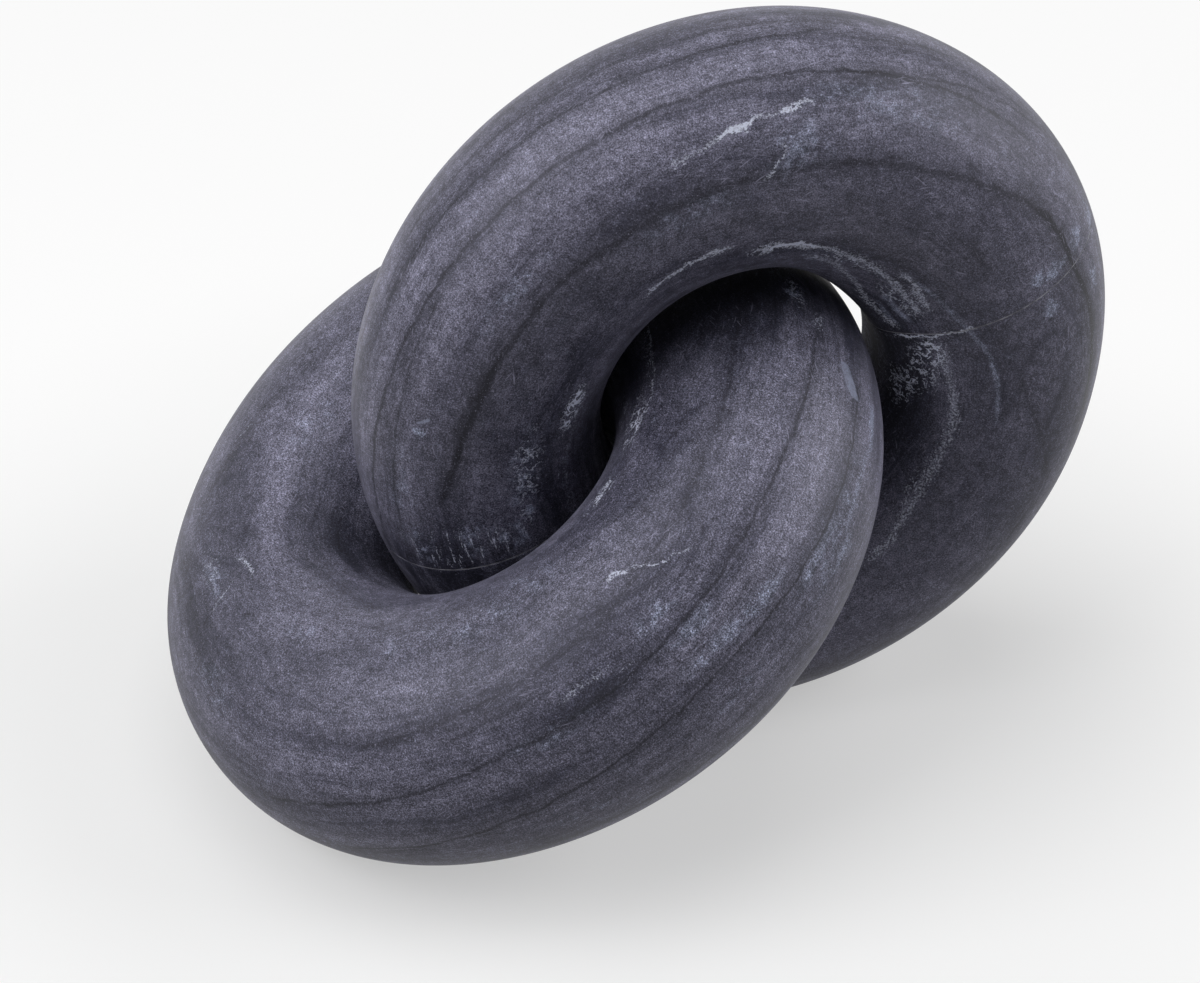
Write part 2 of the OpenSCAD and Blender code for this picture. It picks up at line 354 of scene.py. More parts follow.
class RingForm:
    """A ring in its own frame, with its directions level, uphill and along its axis, in metres."""

    def __init__(self, sizes, swells, seed):
        self.centre = np.array(sizes.centre, float)
        self.axis = np.array(Vector(sizes.axis).normalized(), float)
        level = np.cross((0.0, 0.0, 1.0), self.axis)
        self.level = level / np.linalg.norm(level)
        self.uphill = np.cross(self.axis, self.level)
        self.core, self.tube, self.wave = sizes.core, sizes.tube, sizes.wave
        self.swells = swells
        draw = np.random.default_rng(seed)
        self.wave_count = draw.integers(*WAVES_PER_TURN, (HAND_WAVES, 2)) - (0, WAVE_LEAN)
        self.wave_phase = draw.uniform(0, FULL_TURN, HAND_WAVES)
        self.wave_weight = draw.uniform(*WAVE_WEIGHTS, HAND_WAVES)

    def honing(self, along, around):
        """Height of the hand-honed surface over the true ring, in metres."""
        lift = np.zeros(np.broadcast(along, around).shape)
        for (turns, rounds), phase, weight in zip(self.wave_count, self.wave_phase, self.wave_weight):
            lift += weight * np.cos(turns * along + rounds * around + phase)
        lift *= self.wave / self.wave_weight.sum()
        for swell in self.swells:
            off_along = np.degrees(wrapped(along - math.radians(swell.along))) / swell.reach_along
            off_round = np.degrees(wrapped(around - math.radians(swell.round_))) / swell.reach_round
            lift += swell.height * MM * np.exp(-off_along ** 2 - off_round ** 2)
        return lift

    def points(self, along, around, sink=0.0, shift=0.0):
        """Points of the honed surface. shift moves them past their cross section, along the ring."""
        true = self.section(along, around, self.tube, shift)
        # the foot stays where the model has it, so the surface comes back to the true ring near the table
        ease = np.clip(true[..., 2] / FOOT_EASE, 0, 1)
        lift = self.honing(along, around) * ease * ease * (3 - 2 * ease) - sink
        placed = self.section(along, around, self.tube + lift, shift)
        placed[..., 2] = np.maximum(placed[..., 2], 0)
        return placed

    def section(self, along, around, radius, shift=0.0):
        """Points at a radius from the middle of the section."""
        along, around, radius, shift = np.broadcast_arrays(along, around, radius, shift)
        sine, cosine = np.sin(along)[..., None], np.cos(along)[..., None]
        out = sine * self.level + cosine * self.uphill
        onward = cosine * self.level - sine * self.uphill
        reach = (self.core + radius * np.cos(around))[..., None]
        height = (radius * np.sin(around))[..., None]
        return self.centre + reach * out + height * self.axis + shift[..., None] * onward

    def turn(self):
        """Rotation that takes the ring's own directions to the model's."""
        return Matrix((self.level, self.uphill, self.axis)).transposed()


def wrapped(angle):
    """The same angle between minus and plus half a turn."""
    return (angle + math.pi) % FULL_TURN - math.pi


def angles_round(columns):
    """Angles of the points round a section, from the back of the ring."""
    return np.arange(columns) * FULL_TURN / columns - math.pi / 2


def new_piece(name, points, faces, places, material):
    """Makes a smooth-shaded mesh piece. places are its map coordinates, one for each face corner."""
    mesh = bpy.data.meshes.new(name)
    mesh.from_pydata(points.tolist(), [], faces)
    mesh.shade_smooth()
    mesh.set_sharp_from_angle(angle=SHARP_EDGE)
    flat_map = mesh.uv_layers.new(name="OFBake")
    flat_map.uv.foreach_set("vector", np.asarray(places, np.float32).ravel())
    mesh.materials.append(material)
    piece = bpy.data.objects.new(name, mesh)
    bpy.context.scene.collection.objects.link(piece)
    return piece


def band_faces(rows, columns, closed):
    """Faces and map places of a grid that goes round the section, and round the ring too if it is closed."""
    count = rows if closed else rows - 1
    r, c = np.meshgrid(np.arange(count), np.arange(columns), indexing="ij")
    next_r, next_c = (r + 1) % rows, (c + 1) % columns
    corners = (r * columns + c, r * columns + next_c, next_r * columns + next_c, next_r * columns + c)
    u0, u1 = r / count, (r + 1) / count
    v0, v1 = c / columns, (c + 1) / columns
    places = np.stack((u0, v0, u0, v1, u1, v1, u1, v0), -1)
    return np.stack(corners, -1).reshape(-1, 4).tolist(), places.reshape(-1, 2)


def add_cap(points, rim, middle, outward, map_middle, map_reach):
    """Closes an end with rings of faces that shrink to its middle. Returns points, faces and map places."""
    count = len(rim)
    rings = [rim]
    for share in CAP_SHARES:
        rings.append(np.arange(len(points), len(points) + count))
        points = np.vstack((points, middle + (points[rim] - middle) * share))
    centre = len(points)
    points = np.vstack((points, middle))
    angle = np.arange(count + 1) * FULL_TURN / count
    spot = np.stack((np.cos(angle), np.sin(angle)), -1) * map_reach
    maps = [map_middle + spot * reach for reach in (1.0, *CAP_SHARES)]
    step = 1 if outward else -1
    faces, places = [], []
    for k, (ring, on_map) in enumerate(zip(rings, maps)):
        for i in range(count):
            j = (i + 1) % count
            face, corners = [ring[i], ring[j], centre], [on_map[i], on_map[i + 1], map_middle]
            if k + 1 < len(rings):
                face[2:] = rings[k + 1][j], rings[k + 1][i]
                corners[2:] = maps[k + 1][i + 1], maps[k + 1][i]
            faces.append([int(f) for f in face[::step]])
            places += corners[::step]
    return points, faces, np.array(places).tolist()


def closed_piece(name, form, points, columns, cuts, flat_map, material):
    """Makes a piece from rows of points round the section. cuts give its ends: an angle and a shift."""
    rows = len(points) // columns
    faces, places = band_faces(rows, columns, False)
    places = (places * flat_map.band).tolist()
    for last, (cut, shift), map_middle in zip((False, True), cuts, flat_map.ends):
        rim = np.arange(columns) + last * (rows - 1) * columns
        middle = form.section(cut, 0.0, 0.0, shift)
        points, more_faces, more_places = add_cap(points, rim, middle, last, map_middle, flat_map.reach)
        faces += more_faces
        places += more_places
    return new_piece(name, points, faces, places, material)


class ShaderNodes:
    """Short ways to add nodes to a material or to the surround."""

    def __init__(self, owner):
        self.owner = owner
        owner.use_nodes = True
        self.tree = owner.node_tree
        self.tree.nodes.clear()
        self.times, self.plus, self.most, self.times_plus = (
            partial(self.math, operation) for operation in ("MULTIPLY", "ADD", "MAXIMUM", "MULTIPLY_ADD"))

    def add(self, kind, feeds=(), **settings):
        """Adds a shader node. feeds gives its sockets a value or another node's output."""
        node = self.tree.nodes.new("ShaderNode" + kind)
        for key, value in settings.items():
            setattr(node, key, value)
        for socket, value in dict(feeds).items():
            if isinstance(value, bpy.types.NodeSocket):
                self.tree.links.new(value, node.inputs[socket])
            else:
                node.inputs[socket].default_value = value
        return node

    def math(self, operation, *values, clamp=False):
        return self.add("Math", enumerate(values), operation=operation, use_clamp=clamp).outputs[0]

    def vector(self, operation, *values):
        node = self.add("VectorMath", enumerate(values), operation=operation)
        return node.outputs["Value" if operation == "LENGTH" else "Vector"]

    def ramp(self, value, low, high, at_low=0.0, at_high=1.0):
        feeds = enumerate((value, low, high, at_low, at_high))
        return self.add("MapRange", feeds, interpolation_type="SMOOTHSTEP").outputs[0]

    def noise(self, place, waves, detail=2.0, rough=0.5, bend=0.0):
        """Noise of so many waves per unit of place, in every direction or given for each one."""
        if isinstance(waves, tuple):
            place, waves = self.vector("MULTIPLY", place, waves), 1.0
        feeds = {"Vector": place, "Scale": waves, "Detail": detail, "Roughness": rough, "Distortion": bend}
        return self.add("TexNoise", feeds, noise_type="FBM").outputs["Fac"]

    def swing(self, noise, reach):
        """A noise made to swing to both sides of zero."""
        return self.times_plus(noise, 2 * reach, -reach)

    def off(self, value, level):
        """How far a value is from a level."""
        return self.math("ABSOLUTE", self.math("SUBTRACT", value, level))

    def placed(self, place, location, turn, sizes):
        """Coordinates from another place, turned and measured in other units."""
        feeds = {"Vector": place, "Location": location, "Rotation": turn, "Scale": sizes}
        return self.add("Mapping", feeds, vector_type="TEXTURE").outputs[0]

    def scaled(self, colour, share):
        return self.add("VectorMath", {0: colour, "Scale": share}, operation="SCALE").outputs[0]

    def mix(self, share, first, second):
        first, second = (c if isinstance(c, bpy.types.NodeSocket) else (*c, 1) for c in (first, second))
        return self.add("Mix", {0: share, 6: first, 7: second}, data_type="RGBA").outputs[2]

    def curve(self, value, points):
        node = self.add("FloatCurve", {"Value": value})
        node.mapping.extend = "HORIZONTAL"
        drawn = node.mapping.curves[0].points
        drawn[0].location = points[0]
        drawn[1].location = points[-1]
        for point in points[1:-1]:
            drawn.new(*point)
        node.mapping.update()
        return node.outputs[0]

    def total(self, values):
        found = values[0]
        for value in values[1:]:
            found = self.plus(found, value)
        return found

    def seen_directly(self):
        """1 for what is looked at, straight, mirrored or through glass, and 0 for what only gives light."""
        path = self.add("LightPath").outputs
        mirrored = self.most(path["Is Glossy Ray"], path["Is Transmission Ray"])
        return self.most(path["Is Camera Ray"], mirrored)

    def toothed(self, colour, rough, tooth, depth, strength):
        """A surface with a fine tooth."""
        bump = self.add("Bump", {"Strength": strength, "Distance": depth, "Height": tooth})
        feeds = {"Base Color": colour, "Roughness": rough, "Normal": bump.outputs[0]}
        return self.add("BsdfPrincipled", feeds)

    def finish(self, shader, output="OutputMaterial"):
        self.add(output, {"Surface": shader.outputs[0]})
        return self.owner


class RingPlace:
    """Where a shaded point lies on a ring: its own coordinates in millimetres and its angles in degrees."""

    def __init__(self, nodes, form, seam_along):
        self.nodes = nodes
        self.seam = seam_along
        self.tube_mm = form.tube / MM
        self.core_mm = form.core / MM
        spot = nodes.add("TexCoord").outputs["Object"]
        self.mm = nodes.placed(spot, form.centre, form.turn().to_euler(), (MM, MM, MM))
        x, y, z = nodes.add("SeparateXYZ", {0: self.mm}).outputs
        angle = nodes.math("DEGREES", nodes.math("ARCTAN2", x, y))
        self.along = nodes.math("WRAP", angle, seam_along + 360.0, seam_along)
        squares = nodes.plus(nodes.times(x, x), nodes.times(y, y))
        out = nodes.math("SUBTRACT", nodes.math("SQRT", squares), self.core_mm)
        self.around = nodes.math("DEGREES", nodes.math("ARCTAN2", z, out))
        self.angles = nodes.add("CombineXYZ", {0: self.along, 1: self.around}).outputs[0]
        self.along_share = nodes.math("DIVIDE", nodes.math("SUBTRACT", self.along, seam_along), 360.0)
        self.around_share = nodes.times_plus(self.around, 1 / 360, 0.5)

    def shares(self, point):
        return (point[0] - self.seam) / 360, point[1] / 360 + 0.5

    def line(self, line, sway, across, shade):
        """How near a point is to a line, from 0 to the line's strength, with a soft shade beside it."""
        nodes = self.nodes
        path = [self.shares(p) for p in line.path]
        onward, other, mm_per_turn = self.along_share, self.around_share, FULL_TURN * self.tube_mm
        if across:
            path = [(b, a) for a, b in path]
            onward, other, mm_per_turn = other, onward, FULL_TURN * self.core_mm
        start, end = path[0][0], path[-1][0]
        fade = min(LINE_FADE / 360, LINE_FADE_SHARE * (end - start))
        away = nodes.math("SUBTRACT", other, nodes.curve(onward, path))
        away = nodes.math("ABSOLUTE", nodes.times_plus(away, mm_per_turn, sway))
        half = line.half_width
        near = nodes.ramp(away, half * LINE_SOLID, half * LINE_GONE, line.strength, 0.0)
        if shade:
            beside = nodes.ramp(away, half, half + SHADE_REACH, line.strength * shade, 0.0)
            near = nodes.most(near, beside)
        starts = nodes.ramp(onward, start, start + fade)
        ends = nodes.ramp(onward, end - fade, end, 1.0, 0.0)
        return nodes.times(near, nodes.times(starts, ends))

    def lines(self, marks, sway, across=False, shade=0.0):
        return self.nodes.total([self.line(line, sway, across, shade) for line in marks])

    def areas(self, patches, ragged=None):
        """How far a point lies inside areas, which are soft-edged or have a broken edge."""
        nodes = self.nodes
        found = []
        for patch in patches:
            off = nodes.vector("SUBTRACT", self.angles, (patch.along, patch.round_, 0))
            off = nodes.vector("MULTIPLY", off, (1 / patch.reach_along, 1 / patch.reach_round, 0))
            away, fade = nodes.vector("LENGTH", off), SOFT_FADE
            if ragged is not None:
                away, fade = nodes.plus(away, ragged), BROKEN_FADE
            found.append(nodes.ramp(away, *fade, patch.strength, 0.0))
        return nodes.total(found)


def honed_marble(name, form, stone, ring, marks, seam_along):
    """Charcoal marble, honed to a satin: bedding along the ring, fine grain, veins, flecks and dark lines."""
    nodes = ShaderNodes(bpy.data.materials.new(name))
    place = RingPlace(nodes, form, seam_along)

    # Bedding lies in the plane of the ring and wavers a little
    sway = nodes.swing(nodes.noise(place.mm, SWAY_WAVES, 1), BED_SWAY)
    lifted = nodes.vector("ADD", place.mm, nodes.add("CombineXYZ", {2: sway}).outputs[0])
    beds = nodes.noise(lifted, BED_WAVES, 5, 0.68)
    clouds = nodes.noise(place.mm, CLOUD_WAVES, 4, 0.7)
    tone = nodes.times_plus(beds, stone.bedding, nodes.times(clouds, stone.clouding))
    tone = nodes.math("SUBTRACT", tone, (stone.bedding + stone.clouding - 1) / 2)
    fine_beds = nodes.math("SINE", nodes.times(beds, FINE_BEDS))
    tone = nodes.times_plus(fine_beds, FINE_BED_TONE, tone)
    # Painted light: the pale areas lighten the tone, partly where light falls on the upper sides
    tone = nodes.times_plus(place.areas(marks.pale_areas), AREA_TONE, tone)
    # Painted shade: the dark areas darken the tone, partly where the holes and the other ring keep light off
    tone = nodes.times_plus(place.areas(marks.dark_areas), -AREA_TONE, tone)
    colour = nodes.mix(tone, stone.dark_bed, stone.pale_bed)
    colour = nodes.scaled(colour, nodes.ramp(tone, -0.6, 0.1, DEEPEST, 1.0))

    # Chalky, milky smudges, strong in the hazy areas, and milky lines and chips with a broken edge
    mottle = nodes.noise(place.mm, stone.mottle_scale, 4, 0.92)
    chalk = nodes.noise(place.mm, CHALK_WAVES, 4, 0.8)
    stray = nodes.ramp(chalk, 0.58, 0.74, 0.0, 0.3)
    smudges = nodes.times_plus(place.areas(marks.haze_areas), nodes.ramp(chalk, 0.46, 0.60), stray)
    ragged = nodes.swing(chalk, RAGGED_EDGE)
    chips = place.areas(marks.chips, nodes.times(ragged, 2.4))
    drawn = nodes.most(place.lines(marks.milky_lines, ragged), chips)
    milky = nodes.most(nodes.times(smudges, 0.8), drawn, clamp=True)
    milky = nodes.times(milky, nodes.ramp(mottle, 0.4, 0.56, 0.45, 1.0))
    colour = nodes.mix(milky, colour, stone.milk)

    # Dark bedding lines, jagged, drawn where the ring shows them, and fainter ones all over
    blotches = nodes.noise(place.mm, BLOTCH_WAVES, 4, 0.6)
    drawn = place.lines(marks.dark_lines, nodes.swing(blotches, DARK_LINE_SWAY), shade=0.3)
    drawn = nodes.times(drawn, nodes.ramp(blotches, 0.3, 0.6, 0.7, 1.0))
    faint = nodes.ramp(nodes.off(beds, FAINT_LINE_BED), 0.002, 0.014, 0.35, 0.0)
    faint = nodes.times(faint, nodes.ramp(blotches, 0.45, 0.7))
    darker = nodes.most(drawn, faint, clamp=True)
    colour = nodes.mix(darker, colour, stone.dark_line)

    # Mottling from two millimetres down, fine streaks and a sugary grain, weaker in the dark lines
    grain = nodes.noise(place.mm, stone.grain_scale, 1, 0.8)
    mixed = nodes.times_plus(mottle, 2 * (1 - ring.grain_share), nodes.times(grain, 2 * ring.grain_share))
    streaks = nodes.noise(place.angles, STREAK_WAVES, 2, 0.6, 0.4)
    mixed = nodes.plus(mixed, nodes.swing(streaks, stone.streaks / 2))
    grained = nodes.math("POWER", mixed, ring.grain_contrast)
    colour = nodes.scaled(colour, nodes.times(grained, nodes.times_plus(darker, -0.4, 1.0)))

    # Bright crystals, and hair scratches in two directions in worn places
    speckle = nodes.noise(place.mm, stone.speckle_scale, 2, 0.7)
    crystals = nodes.ramp(speckle, 0.60, 0.73, 0.0, CRYSTAL_STRENGTH)
    leaning = [nodes.placed(place.angles, (0, 0, 0), (0, 0, lean), HAIR_SIZE) for lean in HAIR_LEANS]
    hairs = [nodes.ramp(nodes.noise(way, 1.0, 1), 0.65, 0.74, 0.0, CRYSTAL_STRENGTH) for way in leaning]
    worn = nodes.times(nodes.most(*hairs), nodes.ramp(clouds, 0.48, 0.62))
    bright = nodes.most(crystals, worn)
    bright = nodes.times(bright, nodes.ramp(tone, -0.5, 0.3, DEEPEST, 1.0))
    colour = nodes.mix(bright, colour, stone.crystal)

    # Small milky lenses, mottled like the stone
    lens = nodes.ramp(place.lines(marks.lenses, nodes.times(ragged, 0.6)), 0.3, 0.5, 0.0, 0.8)
    lens = nodes.times(lens, nodes.ramp(mottle, 0.36, 0.58, 0.55, 1.0))
    colour = nodes.mix(lens, colour, stone.milk)

    # Veins, cracks and stringy flecks of white calcite, broken into grains that thin out where they are weak
    thread = nodes.noise(place.mm, THREAD_WAVES, 3, 0.6, 0.6)
    strings = nodes.ramp(nodes.off(thread, 0.5), 0.008, 0.07, 0.95, 0.26)
    rake = nodes.ramp(nodes.noise(place.angles, RAKE_WAVES, 4, 0.7, 0.3), 0.5, 0.68)
    flecks = nodes.most(nodes.times(strings, place.areas(marks.fleck_areas)),
                        nodes.times(rake, place.areas(marks.raked_areas)))
    sway = nodes.plus(*map(nodes.swing, (blotches, chalk), VEIN_SWAY))
    drawn = nodes.most(place.lines(marks.veins, sway), place.lines(marks.cracks, sway, across=True))
    cover = nodes.most(flecks, drawn, clamp=True)
    white = nodes.ramp(nodes.times_plus(cover, 0.47, speckle), 0.68, 0.95)
    white = nodes.times(white, nodes.times_plus(cover, 0.6, 0.4))
    white = nodes.times(white, nodes.ramp(cover, 0.04, 0.16))
    colour = nodes.mix(white, colour, stone.vein)

    # Honed satin: a fine tooth all over, the dark lines a little more polished, the hole's wall less
    rough = nodes.times_plus(grain, 2 * GRAIN_ROUGHNESS, stone.satin - GRAIN_ROUGHNESS)
    rough = nodes.times_plus(darker, -0.06, rough)
    rough = nodes.plus(rough, nodes.ramp(nodes.math("ABSOLUTE", place.around), *HOLE_WALL, 0.0, 0.3))
    shader = nodes.toothed(colour, rough, grain, stone.tooth_depth, 0.4)
    shader.inputs["Specular IOR Level"].default_value = STONE_SPECULAR
    shader.inputs["Specular Tint"].default_value = STONE_SPECULAR_TINT
    return nodes.finish(shader)


def set_epoxy(glue):
    """Pale set epoxy, wiped flush: milky, with stone dust and tiny bubbles in it."""
    nodes = ShaderNodes(bpy.data.materials.new("set_epoxy"))
    mm = nodes.scaled(nodes.add("TexCoord").outputs["Object"], 1 / MM)
    dust = nodes.noise(mm, glue.dust_scale, 3, 0.6)
    bubbles = nodes.noise(mm, glue.bubble_scale, 2, 0.5)
    colour = nodes.mix(nodes.ramp(dust, 0.38, 0.62), glue.dusty, glue.clear)
    colour = nodes.mix(nodes.ramp(bubbles, 0.62, 0.72, 0.0, 0.6), colour, glue.dusty)
    rough = nodes.ramp(dust, 0.3, 0.7, 0.42, 0.6)
    return nodes.finish(nodes.toothed(colour, rough, bubbles, glue.bubble_depth, 0.3))


def number_prop(name, description, default, **limits):
    return bpy.props.FloatProperty(name=name, description=description, default=default, **limits)


def vector_prop(name, description, default, subtype, **limits):
    return bpy.props.FloatVectorProperty(
        name=name, description=description, default=default, size=3, subtype=subtype, **limits)


def angle_prop(name, description, degrees):
    return number_prop(name, description, math.radians(degrees), subtype="ANGLE")


amount_prop = partial(number_prop, min=0.0)
share_prop = partial(number_prop, min=0.0, max=1.0, subtype="FACTOR")
length_prop = partial(number_prop, min=0.0, unit="LENGTH")
power_prop = partial(number_prop, min=0.0, unit="POWER")
colour_prop = partial(vector_prop, subtype="COLOR", min=0.0, max=1.0)


class StoneSettings(bpy.types.PropertyGroup):
    """Finish of the marble."""

    dark_bed: colour_prop("Dark bed", "Colour of the darkest bedding", (0.027, 0.027, 0.041))
    pale_bed: colour_prop("Pale bed", "Colour of the paler bedding", (0.126, 0.1235, 0.169))
    crystal: colour_prop("Crystals", "Colour of the palest grain", (0.30, 0.295, 0.40))
    vein: colour_prop("Veins", "Colour of the white calcite", (0.58, 0.61, 0.74))
    milk: colour_prop("Smudges", "Colour of the milky blue smudges", (0.215, 0.235, 0.32))
    dark_line: colour_prop("Dark lines", "Colour of the thin dark bedding lines", (0.0115, 0.0115, 0.0165))
    bedding: amount_prop("Bedding", "Contrast of the beds", 2.9)
    clouding: amount_prop("Clouds", "Contrast of the soft clouds", 0.9)
    mottle_scale: amount_prop("Mottle", "Coarsest mottles per millimetre", 0.5)
    grain_scale: amount_prop("Grain", "Crystals per millimetre", 4.2)
    speckle_scale: amount_prop("Speckle", "Grains of calcite per millimetre", 2.8)
    streaks: amount_prop("Streaks", "Contrast of the fine streaks along the ring", 0.28)
    satin: share_prop("Satin", "Roughness of the honed face", 0.46)
    tooth_depth: length_prop("Tooth", "Depth of the fine tooth that honing leaves", 0.00008)


class FrontRingSettings(bpy.types.PropertyGroup):
    """Sizes of the front ring, which leans."""

    centre: vector_prop("Centre", "Middle of the ring", (-0.00710127, -0.010474, 0.0455379), "TRANSLATION")
    axis: vector_prop("Axis", "Direction square to the ring", (-0.246511, -0.455545, 0.855401), "DIRECTION")
    core: length_prop("Core radius", "Radius of the circle through the middle of the section", 0.04525)
    tube: length_prop("Section radius", "Radius of the round section", 0.0225)
    wave: length_prop("Hand wave", "Height of the waves that honing by hand leaves", 0.00016)
    grain_share: share_prop("Grain share", "Share of the fine crystals in the mottling", 0.65)
    grain_contrast: amount_prop("Grain contrast", "Contrast of the mottling and crystals", 4.4)


class RearRingSettings(bpy.types.PropertyGroup):
    """Sizes of the rear ring, which stands on edge and turns about its own axis."""

    centre: vector_prop("Centre", "Middle of the ring", REAR_JOINT["pos_m"], "TRANSLATION")
    axis: vector_prop("Axis", "Direction square to the ring", REAR_JOINT["axis"], "DIRECTION")
    core: length_prop("Core radius", "Radius of the circle through the middle of the section", 0.0465)
    tube: length_prop("Section radius", "Radius of the round section", 0.021)
    wave: length_prop("Hand wave", "Height of the waves that honing by hand leaves", 0.00012)
    grain_share: share_prop("Grain share", "Share of the fine crystals in the mottling", 0.56)
    grain_contrast: amount_prop("Grain contrast", "Contrast of the mottling and crystals", 4.0)
    right_cut: angle_prop("Right cut", "Angle from the top to the right saw cut", 64)
    left_cut: angle_prop("Left cut", "Angle from the top to the left saw cut", -109)
    arris: length_prop("Arris", "Width of the eased edge along a saw cut", 0.00006)


class GlueSettings(bpy.types.PropertyGroup):
    """Glue film in the two saw cuts."""

    thickness: length_prop("Film thickness", "Thickness of the glue film", 0.0002)
    sunk: length_prop("Sunk", "Depth of the wiped film below the stone", 0.00003)
    clear: colour_prop("Clear glue", "Colour where the glue is clean", (0.27, 0.27, 0.30))
    dusty: colour_prop("Dusty glue", "Colour where stone dust got in", (0.075, 0.075, 0.09))
    dust_scale: amount_prop("Dust", "Clouds of stone dust per millimetre", 0.45)
    bubble_scale: amount_prop("Bubbles", "Bubbles per millimetre", 3.0)
    bubble_depth: length_prop("Bubble depth", "Depth of the open bubbles", 0.00003)


class StageSettings(bpy.types.PropertyGroup):
    """Camera, floor and light."""

    azimuth: angle_prop("Azimuth", "Camera angle round the object", 32.15)
    elevation: angle_prop("Elevation", "Camera angle above the floor", 32.09)
    distance: length_prop("Distance", "From the camera to the point it looks at", 0.4228)
    aim: vector_prop("Aim", "Point the camera looks at", (0.00307, 0.00193, 0.04604), "TRANSLATION")
    lens: number_prop("Lens", "Focal length", 71.55, unit="CAMERA")
    floor_colour: colour_prop("Floor", "Colour of the floor", (0.82, 0.82, 0.82))
    floor_bounce: colour_prop("Floor bounce", "Colour of light off the floor", (0.45, 0.45, 0.45))
    floor_size: length_prop("Floor radius", "Radius of the round floor", 1.6)
    left: power_prop("Left", "Power of the left softbox", 2.3)
    left_front: power_prop("Left front", "Power of the softbox at the left of the camera", 5.8)
    right: power_prop("Right", "Power of the right softbox", 6.1)
    overhead: power_prop("Overhead", "Power of the overhead softbox", 3.5)
    sky: amount_prop("Surround", "Strength of the white surround", 0.04)


class RingsSettings(bpy.types.PropertyGroup):
    """Everything that can be set."""

    stone: bpy.props.PointerProperty(type=StoneSettings)
    front: bpy.props.PointerProperty(type=FrontRingSettings)
    rear: bpy.props.PointerProperty(type=RearRingSettings)
    glue: bpy.props.PointerProperty(type=GlueSettings)
    stage: bpy.props.PointerProperty(type=StageSettings)


class MARBLERINGS_OT_front_ring(bpy.types.Operator):
    """Carves the front ring, in one piece"""

    bl_idname = "marblerings.front_ring"
    bl_label = "Front ring"

    def execute(self, context):
        settings = context.scene.marble_rings
        form = RingForm(settings.front, FRONT_SWELLS, FRONT_SEED)
        along = np.arange(FRONT_ROWS) * FULL_TURN / FRONT_ROWS
        around = angles_round(STONE_COLUMNS)
        points = form.points(along[:, None], around[None, :]).reshape(-1, 3)
        faces, places = band_faces(FRONT_ROWS, STONE_COLUMNS, True)
        material = honed_marble("front_honed_marble", form, settings.stone, settings.front, FRONT_MARKS, 0.0)
        piece = new_piece("front_ring_stone", points, faces, places, material)
        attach(piece, "front_ring")
        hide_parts("front_ring")
        return {"FINISHED"}


class MARBLERINGS_OT_rear_halves(bpy.types.Operator):
    """Carves the two halves of the rear ring, with an eased edge along each saw cut"""

    bl_idname = "marblerings.rear_halves"
    bl_label = "Rear ring halves"

    def execute(self, context):
        settings = context.scene.marble_rings
        form = RingForm(settings.rear, REAR_SWELLS, REAR_SEED)
        material = honed_marble("rear_honed_marble", form, settings.stone, settings.rear, REAR_MARKS, -180.0)
        left, right = settings.rear.left_cut, settings.rear.right_cut
        self.half("rear_upper_stone", "rear_ring_upper_half", form, settings, material, left, right)
        left += FULL_TURN
        self.half("rear_lower_stone", "rear_ring_lower_half", form, settings, material, right, left)
        return {"FINISHED"}

    def half(self, name, node, form, settings, material, start, end):
        arris = settings.rear.arris
        face = settings.glue.thickness / 2
        step = (end - start) / HALF_ROWS
        # rows of the section: along, shift past the cut, sink of the eased edge
        lead = [(start, face, arris), (start, face + arris, 0.0), (start, face + 3 * arris, 0.0)]
        body = [(start + step * i, 0.0, 0.0) for i in range(1, HALF_ROWS)]
        tail = [(end, -shift, sink) for _, shift, sink in reversed(lead)]
        along, shift, sink = np.array(lead + body + tail).T[..., None]
        points = form.points(along, angles_round(STONE_COLUMNS), sink, shift).reshape(-1, 3)
        cuts = ((start, face), (end, -face))
        piece = closed_piece(name, form, points, STONE_COLUMNS, cuts, HALF_MAP, material)
        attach(piece, "rear_ring")
        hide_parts(node)


class MARBLERINGS_OT_glue_joints(bpy.types.Operator):
    """Fills the two saw cuts with glue, wiped almost flush"""

    bl_idname = "marblerings.glue_joints"
    bl_label = "Glue joints"

    def execute(self, context):
        settings = context.scene.marble_rings
        rear, glue = settings.rear, settings.glue
        form = RingForm(rear, REAR_SWELLS, REAR_SEED)
        material = set_epoxy(glue)
        self.film("right_glue_line", "right_glue_joint", form, glue, rear.right_cut, material, RIGHT_SEED)
        self.film("left_glue_line", "left_glue_joint", form, glue, rear.left_cut, material, LEFT_SEED)
        return {"FINISHED"}

    def film(self, name, node, form, glue, cut, material, seed):
        draw = np.random.default_rng(seed)
        around = angles_round(FILM_COLUMNS)
        ripple = sum(
            draw.uniform(*RIPPLE_WEIGHTS) * np.cos(n * around + draw.uniform(0, FULL_TURN)) for n in RIPPLES)
        sunk = glue.sunk * (1 + RIPPLE_SHARE * ripple)
        half = glue.thickness / 2
        share, hollow = np.array(BEAD_ROWS).T[..., None]
        points = form.points(cut, around, sunk * hollow, share * half).reshape(-1, 3)
        cuts = ((cut, -half), (cut, half))
        piece = closed_piece(name, form, points, FILM_COLUMNS, cuts, FILM_MAP, material)
        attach(piece, "rear_ring")
        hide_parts(node)


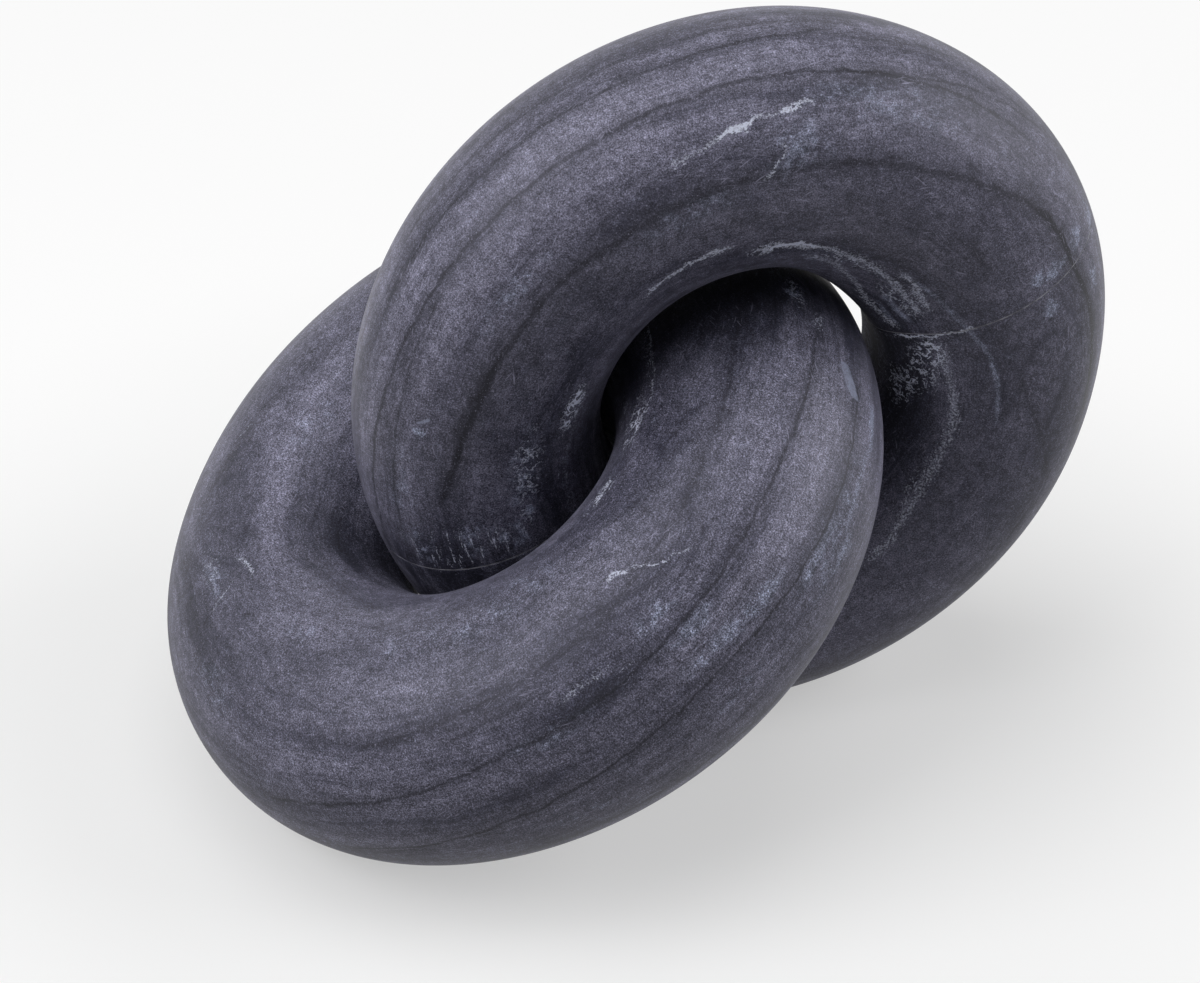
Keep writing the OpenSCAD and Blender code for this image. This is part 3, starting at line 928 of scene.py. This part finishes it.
class MARBLERINGS_OT_stage(bpy.types.Operator):
    """Sets up the camera, a pale floor and soft studio light"""

    bl_idname = "marblerings.stage"
    bl_label = "Stage"

    def execute(self, context):
        stage = context.scene.marble_rings.stage
        self.camera(context, stage)
        self.floor(context, stage)
        self.surround(context, stage)
        for name, azimuth, elevation in SOFTBOXES:
            lamp = bpy.data.lights.new(f"{name}_softbox", "AREA")
            lamp.energy = getattr(stage, name)
            lamp.size = SOFTBOX_SIZE
            turn = stage.azimuth + math.radians(azimuth)
            self.stand(context, lamp, stage.aim, turn, math.radians(elevation), SOFTBOX_DISTANCE)
        context.scene.view_settings.view_transform = "Standard"
        return {"FINISHED"}

    def stand(self, context, data, aim, azimuth, elevation, distance):
        """Stands the camera or a lamp at angles round the object and above the floor, turned to the aim."""
        flat = math.cos(elevation)
        out = Vector((math.sin(azimuth) * flat, -math.cos(azimuth) * flat, math.sin(elevation)))
        thing = bpy.data.objects.new(data.name, data)
        thing.location = Vector(aim) + out * distance
        thing.rotation_euler = out.to_track_quat("Z", "Y").to_euler()
        context.scene.collection.objects.link(thing)
        return thing

    def camera(self, context, stage):
        data = bpy.data.cameras.new("camera")
        data.lens = stage.lens
        data.sensor_fit = "HORIZONTAL"
        data.sensor_width = SENSOR_WIDTH
        data.clip_start, data.clip_end = CLIP_NEAR, CLIP_FAR
        context.scene.camera = self.stand(
            context, data, stage.aim, stage.azimuth, stage.elevation, stage.distance)

    def floor(self, context, stage):
        angle = np.arange(FLOOR_SIDES) * FULL_TURN / FLOOR_SIDES
        x, y = stage.floor_size * np.cos(angle), stage.floor_size * np.sin(angle)
        points = np.stack((x, y, np.full(FLOOR_SIDES, -FLOOR_DROP)), -1)
        mesh = bpy.data.meshes.new("floor")
        mesh.from_pydata(points.tolist(), [], [list(range(FLOOR_SIDES))])
        nodes = ShaderNodes(bpy.data.materials.new("pale_floor"))
        to_camera = nodes.add("LightPath").outputs["Is Camera Ray"]
        pale = nodes.mix(to_camera, stage.floor_bounce, stage.floor_colour)
        matt = nodes.add("BsdfDiffuse", {"Color": pale})
        # the glow that whitens the floor keeps clear of the object, so that its shadow stays
        away = nodes.vector("LENGTH", nodes.add("TexCoord").outputs["Object"])
        share = nodes.plus(nodes.ramp(away, *FOOT_GLOW), nodes.ramp(away, *FAR_GLOW))
        share = nodes.times(nodes.seen_directly(), share)
        glow = nodes.add("Emission")
        mesh.materials.append(nodes.finish(nodes.add(
            "MixShader", {0: share, 1: matt.outputs[0], 2: glow.outputs[0]})))
        floor = bpy.data.objects.new("floor", mesh)
        context.scene.collection.objects.link(floor)

    def surround(self, context, stage):
        nodes = ShaderNodes(bpy.data.worlds.new("white_surround"))
        strength = nodes.ramp(nodes.seen_directly(), 0.0, 1.0, stage.sky, 1.0)
        back = nodes.add("Background", {"Color": (1, 1, 1, 1), "Strength": strength})
        context.scene.world = nodes.finish(back, "OutputWorld")


class MARBLERINGS_PT_rings(bpy.types.Panel):
    """Steps that build the rings and their stage"""

    bl_idname = "MARBLERINGS_PT_rings"
    bl_label = "Linked marble rings"
    bl_space_type = "VIEW_3D"
    bl_region_type = "UI"
    bl_category = "Marble rings"

    def draw(self, context):
        settings = context.scene.marble_rings
        for operator in OPERATORS:
            self.layout.operator(operator.bl_idname)
        for group in (settings.stone, settings.front, settings.rear, settings.glue, settings.stage):
            box = self.layout.box()
            box.label(text=group.bl_rna.description)
            for prop in group.bl_rna.properties:
                if prop.identifier not in ("rna_type", "name"):
                    box.prop(group, prop.identifier)


OPERATORS = (
    MARBLERINGS_OT_front_ring, MARBLERINGS_OT_rear_halves, MARBLERINGS_OT_glue_joints, MARBLERINGS_OT_stage)
CLASSES = (
    StoneSettings, FrontRingSettings, RearRingSettings, GlueSettings, StageSettings, RingsSettings,
    *OPERATORS, MARBLERINGS_PT_rings)


def register():
    for cls in CLASSES:
        bpy.utils.register_class(cls)
    bpy.types.Scene.marble_rings = bpy.props.PointerProperty(type=RingsSettings)


def unregister():
    del bpy.types.Scene.marble_rings
    for cls in reversed(CLASSES):
        bpy.utils.unregister_class(cls)


def main():
    register()
    bpy.ops.marblerings.front_ring()
    bpy.ops.marblerings.rear_halves()
    bpy.ops.marblerings.glue_joints()
    bpy.ops.marblerings.stage()


if __name__ == "__main__":
    main()
